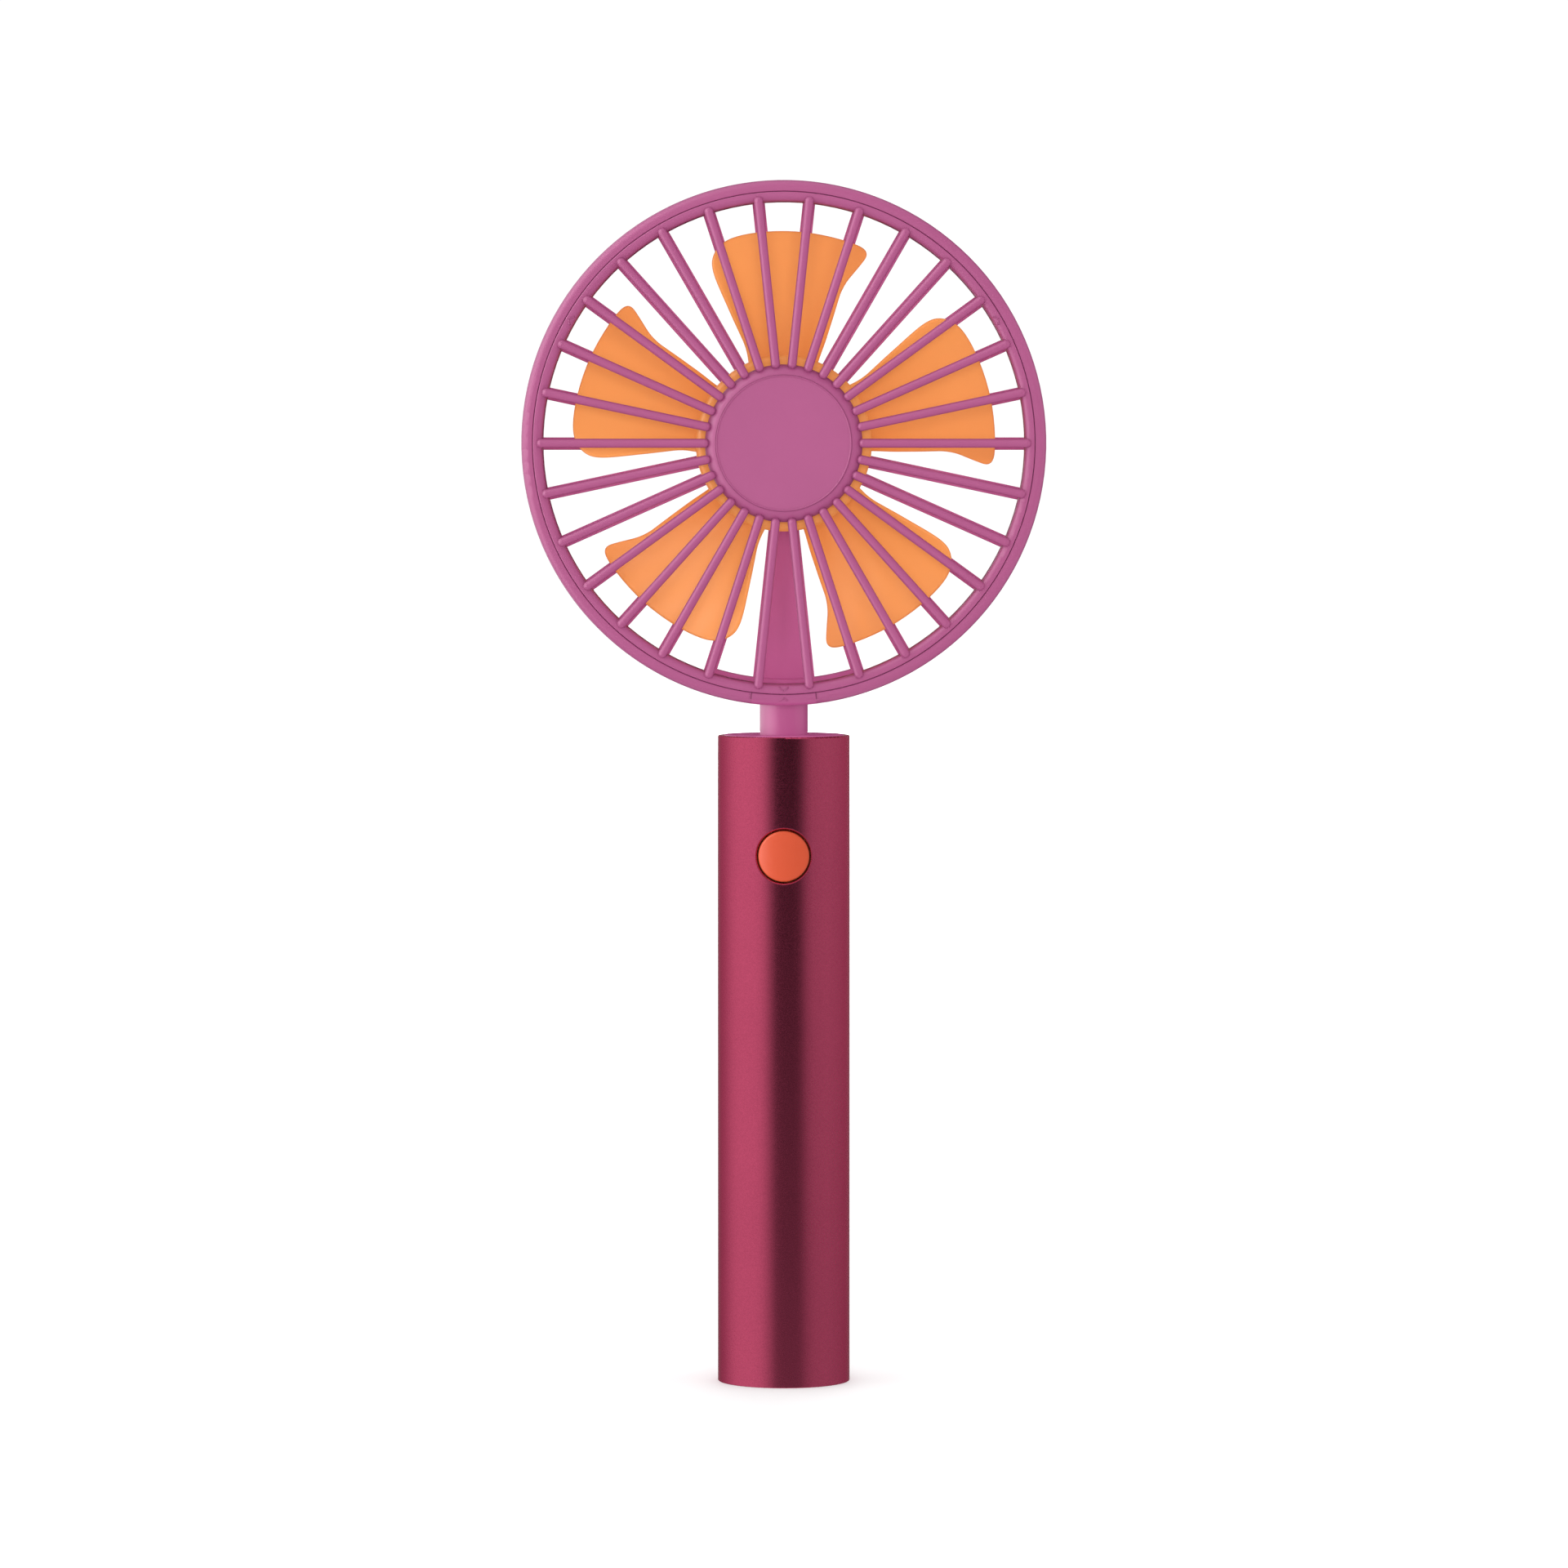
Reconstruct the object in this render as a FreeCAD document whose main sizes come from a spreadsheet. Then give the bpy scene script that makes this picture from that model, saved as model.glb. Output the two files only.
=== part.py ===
import FreeCAD, Part
import math
import os

# Handheld electric fan: a round guard with an axial impeller on a short neck, standing on a tube handle.
# Frame: +Z up, front of the fan faces -Y, X to the right seen from the front,
# origin at the middle of the handle's flat bottom. Millimetres.
# Head pieces are drawn in a head frame (x right, y up, z towards the front) centred on the fan axis.

V = FreeCAD.Vector
doc = FreeCAD.newDocument("handheld_fan")
sheet = doc.addObject("Spreadsheet::Sheet", "dims")

TABLE = [
    # head
    ("head_z", 172.6, "height of the fan axis"),
    ("band_r", 47.82, "outer radius of the head"),
    ("band_in_r", 46.65, "inner radius of the outer band"),
    ("lip_r", 45.75, "inner radius of the band's front lip"),
    ("band_front", 10.2, "front of the band"),
    ("band_rear", -12.2, "rear of the band"),
    ("block_half", 7.2, "half angle of the neck block, and of the gap it fills in the band"),
    ("seam_width", 0.24, "angle of the relief groove at each end of the band"),
    ("seam_depth", 0.35, "depth of the relief groove"),
    ("drum_r", 46.55, "outer radius of the guard drum"),
    ("drum_in_r", 45.0, "inner radius of the guard drum"),
    ("drum_front", 7.0, "front edge of the drum"),
    ("rim_in_r", 44.7, "inner radius of the rear rim"),
    ("rib_front", -9.2, "front face of the rear ribs"),
    ("rib_half", 1.15, "half width of a rear rib"),
    ("rib_count", 30, "ribs and spokes"),
    ("ring_out_r", 45.68, "outer radius of the front grille ring"),
    ("ring_in_r", 43.95, "inner radius of the front grille ring"),
    ("ring_front", 10.4, "front face of the grille ring"),
    ("skirt_r", 44.9, "outer radius of the grille skirt"),
    ("skirt_rear", 3.4, "rear edge of the grille skirt"),
    ("spoke_half", 0.825, "half width of a front spoke"),
    ("spoke_mid", 10.375, "axis height of a front spoke"),
    ("spoke_in", 13.65, "inner end of a spoke"),
    ("spoke_out", 45.0, "outer end of a spoke"),
    ("cap_r", 14.35, "outer radius of the grille cap"),
    ("disc_r", 12.4, "radius of the centre disc"),
    ("hub_cup_r", 15.6, "outer radius of the motor cup"),
    # impeller and motor
    ("hub_r", 16.1, "outer radius of the impeller hub"),
    ("hub_in_r", 14.8, "inner radius of the impeller hub"),
    ("hub_front", 6.6, "front of the impeller hub"),
    ("hub_rear", -6.2, "rear of the impeller hub"),
    ("tip_r", 38.9, "blade tip radius"),
    ("blade_skin", 1.3, "blade thickness"),
    ("blade_rise", 6.9, "axial half height of the blade surface"),
    ("blade_wedge", 26.0, "half angle the blade surface is drawn over"),
    ("shaft_r", 1.0, "motor shaft radius"),
    ("bearing_in_r", 1.03, "bore radius of the bearings"),
    ("tube_in_r", 3.2, "bore radius of the bearing tube"),
    ("tube_out_r", 4.4, "outer radius of the bearing tube"),
    # neck
    ("post_r", 4.4, "neck radius"),
    ("post_low", 105.4, "height of the neck's lower end"),
    ("lead_bore", 1.5, "radius of the lead bore in the neck"),
    # handle
    ("handle_r", 12.14, "handle radius"),
    ("handle_in_r", 11.0, "handle bore radius"),
    ("handle_top", 119.1, "height of the handle tube"),
    ("button_z", 97.4, "height of the button"),
    ("button_r", 4.65, "button radius"),
    ("button_hole_r", 4.95, "radius of the button opening"),
    ("cell_r", 9.2, "battery radius"),
    ("cell_len", 65.0, "battery length"),
    ("cell_low", 16.5, "height of the battery's lower end"),
    ("board_front", 4.2, "distance of the board's front face before the handle axis"),
    ("board_skin", 1.2, "board thickness"),
    ("usb_z", 11.83, "height of the charging socket"),
]
for row, (alias, value, note) in enumerate(TABLE, start=1):
    sheet.set("A%d" % row, alias)
    sheet.set("B%d" % row, repr(value))
    sheet.setAlias("B%d" % row, alias)
    sheet.set("C%d" % row, note)
doc.recompute()


class Dim:
    """A length that keeps its value and the expression that drives it."""

    def __init__(self, value, text):
        self.v = float(value)
        self.e = text

    def __add__(self, o):
        o = dim(o)
        return Dim(self.v + o.v, "(%s + %s)" % (self.e, o.e))

    __radd__ = __add__

    def __sub__(self, o):
        o = dim(o)
        return Dim(self.v - o.v, "(%s - %s)" % (self.e, o.e))

    def __rsub__(self, o):
        return dim(o) - self

    def __mul__(self, o):
        o = dim(o)
        return Dim(self.v * o.v, "(%s * %s)" % (self.e, o.e))

    __rmul__ = __mul__

    def __truediv__(self, o):
        o = dim(o)
        return Dim(self.v / o.v, "(%s / %s)" % (self.e, o.e))

    def __neg__(self):
        return dim(0) - self


def dim(x):
    return x if isinstance(x, Dim) else Dim(x, "(%r)" % float(x))


def tan_of(x):
    x = dim(x)
    return Dim(math.tan(math.radians(x.v)), "tan(%s)" % x.e)


def sqrt_of(x):
    x = dim(x)
    return Dim(math.sqrt(x.v), "sqrt(%s)" % x.e)


S = {alias: Dim(value, "dims.%s" % alias) for alias, value, note in TABLE}

PARTS = []


def keep(obj, head=False):
    """Name the sub-part and put it in the fan's frame."""
    obj.Label = obj.Name
    if head:
        obj.Placement = FreeCAD.Placement(
            V(0, 0, S["head_z"].v), FreeCAD.Rotation(V(1, 0, 0), 90)
        )
        obj.setExpression("Placement.Base.z", S["head_z"].e)
    PARTS.append(obj)
    return obj


def new_body(name, several=False):
    b = doc.addObject("PartDesign::Body", name)
    if several:
        b.AllowCompound = True
    return b


def origin_item(b, role):
    for o in b.Origin.OriginFeatures:
        if o.Role == role:
            return o


def new_sketch(b, name, role, lift=0, turn=0.0, up=0):
    """lift: distance along the plane's normal, up: along its vertical, turn: degrees about its vertical."""
    sk = b.newObject("Sketcher::SketchObject", name)
    sk.AttachmentSupport = (origin_item(b, role), [""])
    sk.MapMode = "FlatFace"
    lift, up = dim(lift), dim(up)
    sk.AttachmentOffset = FreeCAD.Placement(
        V(0, up.v, lift.v), FreeCAD.Rotation(V(0, 1, 0), turn)
    )
    if lift.v:
        sk.setExpression("AttachmentOffset.Base.z", lift.e)
    if up.v:
        sk.setExpression("AttachmentOffset.Base.y", up.e)
    return sk


def fix_point(sk, geo, pos, x, y):
    import Sketcher

    for axis, d in (("X", x), ("Y", y)):
        if abs(d.v) < 1e-9:
            # a point on the axis: X = 0 lies on the vertical axis (-2), Y = 0 on the horizontal one (-1)
            sk.addConstraint(
                Sketcher.Constraint("PointOnObject", geo, pos, -2 if axis == "X" else -1)
            )
        else:
            i = sk.addConstraint(
                Sketcher.Constraint("Distance" + axis, -1, 1, geo, pos, d.v)
            )
            sk.setExpression("Constraints[%d]" % i, d.e)


def outline(sk, points):
    """Closed outline. A point is (x, y), or (x, y, radius, cx, cy) when an arc leads to the next point."""
    import Sketcher

    pts = []
    given = [tuple(dim(c) for c in p) for p in points]
    for i, p in enumerate(given):
        pts.append(p)
        if len(p) == 5:
            # a half circle is drawn as two quarters, which pins its centre
            q = given[(i + 1) % len(given)]
            ang_a = math.atan2(p[1].v - p[4].v, p[0].v - p[3].v)
            ang_b = math.atan2(q[1].v - p[4].v, q[0].v - p[3].v)
            if abs((ang_b - ang_a) % (2 * math.pi) - math.pi) < 0.3:
                mid = ang_a + ((ang_b - ang_a) % (2 * math.pi)) / 2
                if p[2].v and round(math.degrees((ang_b - ang_a) % (2 * math.pi))) == 180:
                    mid = ang_a + math.pi / 2
                pts.append((p[3] + p[2] * round(math.cos(mid), 12), p[4] + p[2] * round(math.sin(mid), 12), p[2], p[3], p[4]))
    n = len(pts)
    geos = []
    for i, p in enumerate(pts):
        q = pts[(i + 1) % n]
        a, b = V(p[0].v, p[1].v, 0), V(q[0].v, q[1].v, 0)
        if len(p) == 2:
            g = sk.addGeometry(Part.LineSegment(a, b), False)
            geos.append((g, 1, 2))
        else:
            c = V(p[3].v, p[4].v, 0)
            ang_a = math.atan2(a.y - c.y, a.x - c.x)
            ang_b = math.atan2(b.y - c.y, b.x - c.x)
            sweep = (ang_b - ang_a) % (2 * math.pi)
            circle = Part.Circle(c, V(0, 0, 1), p[2].v)
            if sweep <= math.pi + 1e-6:
                g = sk.addGeometry(
                    Part.ArcOfCircle(circle, ang_a, ang_a + sweep), False
                )
                geos.append((g, 1, 2))
            else:
                g = sk.addGeometry(
                    Part.ArcOfCircle(circle, ang_b, ang_b + 2 * math.pi - sweep), False
                )
                geos.append((g, 2, 1))
    for i in range(n):
        g, s, e = geos[i]
        g2, s2, e2 = geos[(i + 1) % n]
        sk.addConstraint(Sketcher.Constraint("Coincident", g, e, g2, s2))
    for i, p in enumerate(pts):
        g, s, e = geos[i]
        fix_point(sk, g, s, p[0], p[1])
        if len(p) == 5:
            k = sk.addConstraint(Sketcher.Constraint("Radius", g, p[2].v))
            sk.setExpression("Constraints[%d]" % k, p[2].e)


def circles(sk, rows):
    """rows of (x, y, radius)"""
    import Sketcher

    for x, y, r in rows:
        x, y, r = dim(x), dim(y), dim(r)
        g = sk.addGeometry(Part.Circle(V(x.v, y.v, 0), V(0, 0, 1), r.v), False)
        if abs(x.v) < 1e-9 and abs(y.v) < 1e-9:
            sk.addConstraint(Sketcher.Constraint("Coincident", g, 3, -1, 1))
        else:
            fix_point(sk, g, 3, x, y)
        k = sk.addConstraint(Sketcher.Constraint("Radius", g, r.v))
        sk.setExpression("Constraints[%d]" % k, r.e)


def box_pts(x0, y0, x1, y1):
    return [(x0, y0), (x1, y0), (x1, y1), (x0, y1)]


def solid_pad(b, name, sk, length, cut=False, flip=False):
    f = b.newObject("PartDesign::Pocket" if cut else "PartDesign::Pad", name)
    f.Profile = sk
    length = dim(length)
    f.Length = length.v
    f.setExpression("Length", length.e)
    # a pad grows along the sketch's normal; a pocket is turned to do the same
    f.Reversed = (not flip) if cut else flip
    sk.Visibility = False
    return f


def spin(b, name, sk, axis="V_Axis", angle=360, cut=False, centred=False):
    f = b.newObject("PartDesign::Groove" if cut else "PartDesign::Revolution", name)
    f.Profile = sk
    f.ReferenceAxis = (sk, [axis])
    angle = dim(angle)
    f.Angle = angle.v
    f.setExpression("Angle", angle.e)
    f.Midplane = centred
    return f


def prism(b, name, role, pts, lift, length, cut=False, flip=False, up=0):
    sk = new_sketch(b, name + "_outline", role, lift=lift, up=up)
    outline(sk, pts)
    return solid_pad(b, name, sk, length, cut, flip)


def chevron(b, name, half, tip_y, apex_y, thick, lift, length):
    """Two bars with sloping flanks that meet in a point: a raised pointer mark."""
    feats = []
    for side, sign in (("left", -1), ("right", 1)):
        run, rise = -sign * half, apex_y - tip_y
        size = math.hypot(run, rise)
        ux, uy = run / size, rise / size
        nx, ny = -uy * thick, ux * thick
        x0, y0 = sign * half, tip_y
        x1, y1 = ux * 0.1, apex_y + uy * 0.1
        f = prism(b, name + "_" + side, "XY_Plane", [
            (x0 + nx, y0 + ny), (x0 - nx, y0 - ny), (x1 - nx, y1 - ny), (x1 + nx, y1 + ny),
        ], lift, length)
        f.TaperAngle = -13.0
        feats.append(f)
    return feats


def rod(b, name, role, rows, lift, length, cut=False, flip=False):
    sk = new_sketch(b, name + "_circle", role, lift=lift)
    circles(sk, rows)
    return solid_pad(b, name, sk, length, cut, flip)


def turned(b, name, pts, angle=360, centre=0.0, cut=False):
    """Turn an (r, height) outline about the vertical axis; centre is the middle angle of a part turn."""
    sk = new_sketch(b, name + "_section", "XZ_Plane", turn=centre)
    outline(sk, pts)
    return spin(b, name, sk, "V_Axis", angle, cut, centred=(dim(angle).v < 360))


def around(b, name, feats, count):
    p = b.newObject("PartDesign::PolarPattern", name)
    p.Originals = feats
    p.Axis = (origin_item(b, "Z_Axis"), [""])
    p.Angle = 360
    count = dim(count)
    p.Occurrences = int(round(count.v))
    if count.e.startswith("dims."):
        p.setExpression("Occurrences", count.e)
    b.Tip = p
    return p


def edge_round(b, name, kind, size, test):
    """Fillet or chamfer the edges of the body's tip that pass the test."""
    doc.recompute()
    base = b.Tip
    names = [
        "Edge%d" % (i + 1) for i, e in enumerate(base.Shape.Edges) if test(e)
    ]
    if not names:
        raise RuntimeError("no edges for " + name)
    f = b.newObject("PartDesign::" + kind, name)
    f.Base = (base, names)
    if kind == "Fillet":
        f.Radius = size
    else:
        f.Size = size
    return f


def ring_edge(r, height, axis=2, tol=0.02):
    """A circle edge about the vertical axis with this radius and height."""

    def test(e):
        c = e.Curve
        return (
            isinstance(c, Part.Circle)
            and abs(c.Radius - r) < tol
            and abs(e.BoundBox.ZMin - height) < tol
            and abs(e.BoundBox.ZMax - height) < tol
        )

    return test


# ---------------------------------------------------------------- rear guard
# Drum wall with its rear rim and the thickened pad under the neck block.
DRUM = [
    (S["drum_in_r"], S["drum_front"]),
    (S["drum_in_r"], S["rib_front"]),
    (S["rim_in_r"], S["rib_front"]),
    (S["rim_in_r"], S["band_rear"] + 0.4),
    (S["rim_in_r"] + 0.4, S["band_rear"]),
    (S["drum_r"], S["band_rear"]),
    (S["drum_r"], S["drum_front"]),
]
PAD = [
    (43.5, S["band_rear"] + 0.4),
    (43.9, S["band_rear"]),
    (S["drum_in_r"] + 0.3, S["band_rear"]),
    (S["drum_in_r"] + 0.3, -6.0),
    (43.5, -6.0),
]
b = new_body("guard_drum")
turned(b, "drum_wall", DRUM)
turned(b, "drum_pad", PAD, angle=36, centre=270.0)
# way for the neck's tongue and the leads through the drum
prism(b, "tongue_way", "XY_Plane", box_pts(-2.1, -47.2, 2.1, -43.0), -14.0, 4.1, cut=True)
# twist-lock tracks for the three grille lugs: entry slot and sideways track
entry = turned(b, "lug_entry", [
    (44.5, 3.8), (S["drum_in_r"] + 0.9, 3.8), (S["drum_in_r"] + 0.9, 7.5), (44.5, 7.5),
], angle=9.2, centre=282.0, cut=True)
track = turned(b, "lug_track", [
    (44.5, 3.8), (S["drum_in_r"] + 0.9, 3.8), (S["drum_in_r"] + 0.9, 5.6), (44.5, 5.6),
], angle=21.2, centre=276.0, cut=True)
around(b, "lug_ways", [entry, track], 3)
keep(b, head=True)

# Thirty ribs, motor cup and the wire spine's front panel, seated in the drum.
b = new_body("rear_guard")
turned(b, "motor_cup", [
    (0, -13.4),
    (S["hub_cup_r"] - 0.6, -13.4),
    (S["hub_cup_r"], -12.8),
    (S["hub_cup_r"], -8.0),
    (S["hub_cup_r"] - 1.2, -8.0),
    (S["hub_cup_r"] - 1.2, -11.8),
    (5.8, -11.8),
    (5.8, -8.6),
    (S["tube_out_r"], -8.6),
    (S["tube_out_r"], -12.4),
    (0, -12.4),
])
rib_web = prism(b, "rib_web", "XY_Plane",
    box_pts(15.1, -S["rib_half"], 45.3, S["rib_half"]), S["band_rear"], S["rib_front"] - S["band_rear"])
sk = new_sketch(b, "rib_back_section", "XZ_Plane", up=S["band_rear"])
outline(sk, [
    (14.6, 0, S["rib_half"], 14.6 + S["rib_half"], 0),
    (14.6 + S["rib_half"], S["rib_half"]),
    (45.7 - S["rib_half"], S["rib_half"], S["rib_half"], 45.7 - S["rib_half"], 0),
    (45.7, 0),
])
rib_back = spin(b, "rib_back", sk, "H_Axis")
around(b, "ribs", [rib_web, rib_back], S["rib_count"])
turned(b, "spine_panel", [
    (15.2, -9.9),
    (45.2, -9.9),
    (45.2, S["rib_front"]),
    (15.2, S["rib_front"]),
], angle=12, centre=270.0)
# seats against the drum wall, its rim and its pad
turned(b, "drum_seat", DRUM, cut=True)
turned(b, "pad_seat", PAD, angle=36, centre=270.0, cut=True)
# way for the leads past the inner rib ends and into the cup
prism(b, "lead_way", "XY_Plane", box_pts(-1.2, -18.6, 1.2, -14.0), -11.6, 1.7, cut=True)
keep(b, head=True)

# ---------------------------------------------------------------- outer band
BAND = [
    (S["band_in_r"], S["band_rear"]),
    (S["band_r"] - 1.0, S["band_rear"], 1.0, S["band_r"] - 1.0, S["band_rear"] + 1.0),
    (S["band_r"], S["band_rear"] + 1.0),
    (S["band_r"], S["band_front"] - 1.3, 1.3, S["band_r"] - 1.3, S["band_front"] - 1.3),
    (S["band_r"] - 1.3, S["band_front"]),
    (S["lip_r"] + 0.12, S["band_front"]),
    (S["lip_r"], S["band_front"] - 0.12),
    (S["lip_r"], S["drum_front"] + 0.1),
    (S["band_in_r"], S["drum_front"] + 0.1),
]
b = new_body("rim_band")
turned(b, "band_turn", BAND, angle=360 - 2 * S["block_half"], centre=90.0)
# relief groove and eased edge in the front at both ends, where the band meets the neck block
SEAM = box_pts(S["lip_r"] - 0.3, S["band_front"] - S["seam_depth"], S["band_r"] - 0.9, S["band_front"] + 0.5)
EASE = box_pts(S["lip_r"] - 0.3, S["band_front"] - 0.13, S["band_r"] - 0.6, S["band_front"] + 0.5)
for side, sign in (("left", -1), ("right", 1)):
    turned(b, "seam_" + side, SEAM, angle=S["seam_width"], centre=270.0 + sign * (7.2 + 0.12), cut=True)
    turned(b, "ease_" + side, EASE, angle=0.6, centre=270.0 + sign * (7.2 + 0.3), cut=True)
keep(b, head=True)

# ---------------------------------------------------------------- neck: block, post and tongue
b = new_body("neck_stem")
turned(b, "neck_block", BAND, angle=2 * S["block_half"], centre=270.0)
rod(b, "neck_post", "XZ_Plane", [(0, 0, S["post_r"])], 47.0, S["head_z"] - S["post_low"] - 47.0)
prism(b, "neck_tongue", "XY_Plane", box_pts(-2.0, -47.6, 2.0, -35.0), -12.1, 1.2)
rod(b, "lead_bore", "XZ_Plane", [(0, 0, S["lead_bore"])], 47.2,
    S["head_z"] - S["post_low"] - 46.0, cut=True)
prism(b, "lead_groove", "XY_Plane", box_pts(-1.1, -47.5, 1.1, -45.0), -10.9, 12.4, cut=True)
rod(b, "tongue_holes", "XY_Plane", [(0, -37.0, 0.7), (0, -42.0, 0.7)], -12.6, 2.2, cut=True)
sk = new_sketch(b, "clip_seat_section", "YZ_Plane")
outline(sk, [
    (-(S["head_z"] - S["post_low"] - 0.5), 3.9),
    (-(S["head_z"] - S["post_low"] - 1.3), 3.9),
    (-(S["head_z"] - S["post_low"] - 1.3), 5.0),
    (-(S["head_z"] - S["post_low"] - 0.5), 5.0),
])
spin(b, "clip_seat", sk, "H_Axis", cut=True)
# pointer mark on the block, facing the mark on the grille ring
chevron(b, "block_mark", 0.72, -46.92, -46.36, 0.17, S["band_front"] - 0.3, 0.5)
keep(b, head=True)

# ---------------------------------------------------------------- spine cover and its screws
b = new_body("spine_cover")
prism(b, "cover_plate", "XY_Plane", [
    (-3.3, -45.6), (3.3, -45.6), (0.52, -16.4), (-0.52, -16.4),
], -13.1, 0.9)
rod(b, "cover_holes", "XY_Plane", [(0, -37.0, 0.8), (0, -42.0, 0.8)], -13.6, 2.0, cut=True)
rod(b, "cover_sinks", "XY_Plane", [(0, -37.0, 1.4), (0, -42.0, 1.4)], -13.6, 1.0, cut=True)
keep(b, head=True)

HEXAGON = [(0.55 * math.cos(math.radians(60 * i)), 0.55 * math.sin(math.radians(60 * i))) for i in range(6)]
b = new_body("spine_screws", several=True)
rod(b, "spine_shanks", "XY_Plane", [(0, -37.0, 0.7), (0, -42.0, 0.7)], -12.9, 1.9)
rod(b, "spine_heads", "XY_Plane", [(0, -37.0, 1.3), (0, -42.0, 1.3)], -13.25, 0.65)
for k, y in enumerate((-37.0, -42.0)):
    prism(b, "spine_socket_%d" % k, "XY_Plane", [(x, y + q) for x, q in HEXAGON], -13.5, 0.55, cut=True)
keep(b, head=True)

# ---------------------------------------------------------------- front grille
# Ring with skirt, lugs and marks; the spoke wheel with its cap sits on and in it.
ring = new_body("grille_ring")
turned(ring, "ring_turn", [
    (S["ring_in_r"], S["skirt_rear"]),
    (S["skirt_r"], S["skirt_rear"]),
    (S["skirt_r"], S["drum_front"] + 0.15),
    (S["ring_out_r"], S["drum_front"] + 0.15),
    (S["ring_out_r"], S["ring_front"] - 0.22, 0.22, S["ring_out_r"] - 0.22, S["ring_front"] - 0.22),
    (S["ring_out_r"] - 0.22, S["ring_front"]),
    (S["ring_in_r"] + 1.1, S["ring_front"], 1.1, S["ring_in_r"] + 1.1, S["ring_front"] - 1.1),
    (S["ring_in_r"], S["ring_front"] - 1.1),
])
lug = turned(ring, "lug", [
    (S["skirt_r"] - 0.3, 4.1), (S["drum_in_r"] + 0.75, 4.1), (S["drum_in_r"] + 0.75, 5.3), (S["skirt_r"] - 0.3, 5.3),
], angle=8, centre=270.0)
mark = chevron(ring, "ring_mark", 0.92, -44.42, -45.16, 0.2, S["ring_front"] - 0.4, 0.6)
around(ring, "lugs", [lug] + mark, 3)
keep(ring, head=True)

cap = new_body("grille_cap_body")
turned(cap, "grille_cap", [
    (0, 8.4),
    (S["cap_r"], 8.4),
    (S["cap_r"], 9.2, 2.3, 12.119, 8.641),
    (S["disc_r"] + 0.02, 10.9),
    (S["disc_r"] + 0.02, 9.8),
    (0, 9.8),
])

def bound(obj, **sizes):
    """Set sizes of a primitive and bind them to the sheet; x, y, z place it."""
    base = V(*[dim(sizes.get(c, 0)).v for c in "xyz"])
    obj.Placement = FreeCAD.Placement(base, obj.Placement.Rotation)
    for key, d in sizes.items():
        d = dim(d)
        if key in "xyz":
            obj.setExpression("Placement.Base." + key, d.e)
        else:
            setattr(obj, key, d.v)
            obj.setExpression(key, d.e)
    return obj


rail = doc.addObject("Part::Cylinder", "spoke_rod")
rail.Placement = FreeCAD.Placement(V(0, 0, 0), FreeCAD.Rotation(V(0, 1, 0), 90))
bound(rail, Radius=S["spoke_half"], Height=S["spoke_out"] - S["spoke_in"] - 2 * S["spoke_half"],
      x=S["spoke_in"] + S["spoke_half"], z=S["spoke_mid"])
ends = [
    bound(doc.addObject("Part::Sphere", "spoke_end_in"), Radius=S["spoke_half"],
          x=S["spoke_in"] + S["spoke_half"], z=S["spoke_mid"]),
    bound(doc.addObject("Part::Sphere", "spoke_end_out"), Radius=S["spoke_half"],
          x=S["spoke_out"] - S["spoke_half"], z=S["spoke_mid"]),
]
web = bound(doc.addObject("Part::Box", "spoke_web"), Length=S["ring_in_r"] - S["cap_r"] + 0.9,
            Width=2 * (S["spoke_half"] - 0.2), Height=S["spoke_mid"] - 8.8,
            x=S["cap_r"] - 0.5, y=0.2 - S["spoke_half"], z=8.8)
round_bar = doc.addObject("Part::MultiFuse", "spoke_bar")
round_bar.Shapes = [rail] + ends
round_bar.Refine = True
spoke = doc.addObject("Part::MultiFuse", "grille_spoke")
spoke.Shapes = [round_bar, web]
spoke.Refine = False
spokes = []
for k in range(30):
    link = doc.addObject("App::Link", "spoke_copy_%d" % (k + 1))
    link.LinkedObject = spoke
    link.LinkTransform = False
    link.Placement = FreeCAD.Placement(V(0, 0, 0), FreeCAD.Rotation(V(0, 0, 1), 12.0 * k))
    spokes.append(link)
wheel = doc.addObject("Part::MultiFuse", "spoke_wheel")
wheel.Shapes = [cap] + spokes
wheel.Refine = False
# the ring as a tool in the drawing frame of the head
seat = doc.addObject("App::Link", "ring_seat")
seat.LinkedObject = ring
seat.LinkTransform = False
seat.Placement = FreeCAD.Placement()
grille = doc.addObject("Part::Cut", "front_grille")
grille.Base = wheel
grille.Tool = seat
grille.Refine = False
keep(grille, head=True)

b = new_body("centre_disc")
turned(b, "disc_turn", [
    (0, 9.8), (S["disc_r"], 9.8), (S["disc_r"], 11.02), (S["disc_r"] - 0.1, 11.22), (S["disc_r"] - 0.22, 11.22), (S["disc_r"] - 0.34, 11.05), (0, 11.05),
])
keep(b, head=True)

# ---------------------------------------------------------------- impeller: hub and five blades
hub = new_body("impeller_hub")
turned(hub, "hub_turn", [
    (S["shaft_r"], 2.6),
    (3.0, 2.6),
    (3.0, S["hub_front"] - 1.4),
    (S["hub_in_r"], S["hub_front"] - 1.4),
    (S["hub_in_r"], S["hub_rear"]),
    (S["hub_r"], S["hub_rear"]),
    (S["hub_r"], S["hub_front"] - 1.2, 1.2, S["hub_r"] - 1.2, S["hub_front"] - 1.2),
    (S["hub_r"] - 1.2, S["hub_front"]),
    (S["shaft_r"], S["hub_front"]),
])

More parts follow.
